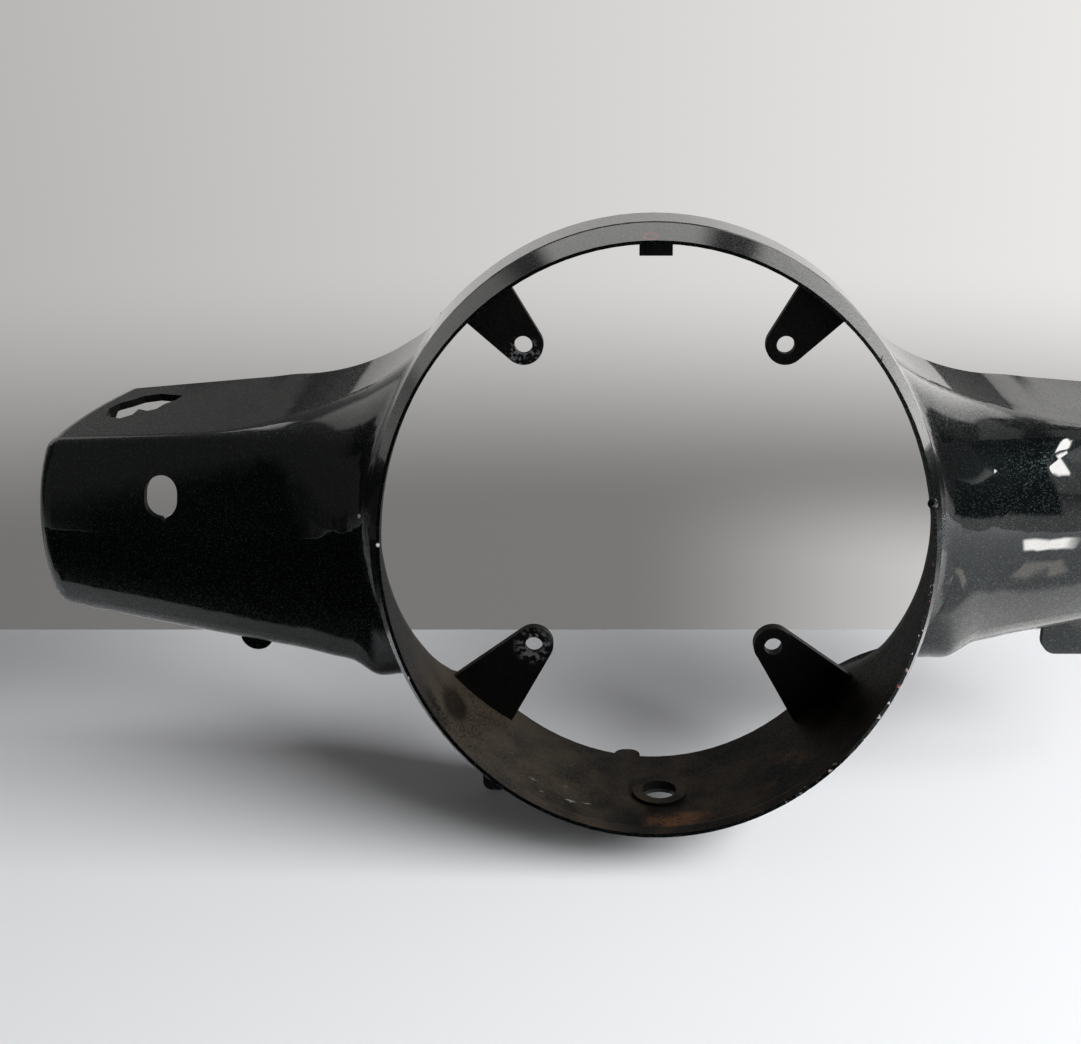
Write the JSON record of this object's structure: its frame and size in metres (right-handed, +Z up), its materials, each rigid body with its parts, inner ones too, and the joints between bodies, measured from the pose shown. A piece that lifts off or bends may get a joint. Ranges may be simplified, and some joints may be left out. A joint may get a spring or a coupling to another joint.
{
  "type": "headlight cowl",
  "caption": "Scooter handlebar front cowl: a moulded shell with a round leaning lamp opening, inward screw tabs and two hollow wings open at the rear.",
  "frame": {"origin": "centre of the lamp opening, where the lamp axis crosses the plane of the rim", "axes": "+X along the wings, +Y to the rear along the lamp axis, +Z up"},
  "size_m": [0.401, 0.1293, 0.1825],
  "materials": {
    "painted_shell": "near-black green gloss paint with fine metallic flake outside, bare dusty black plastic inside"
  },
  "bodies": {
    "root": {"cowl": "painted_shell"}
  },
  "joints": []
}
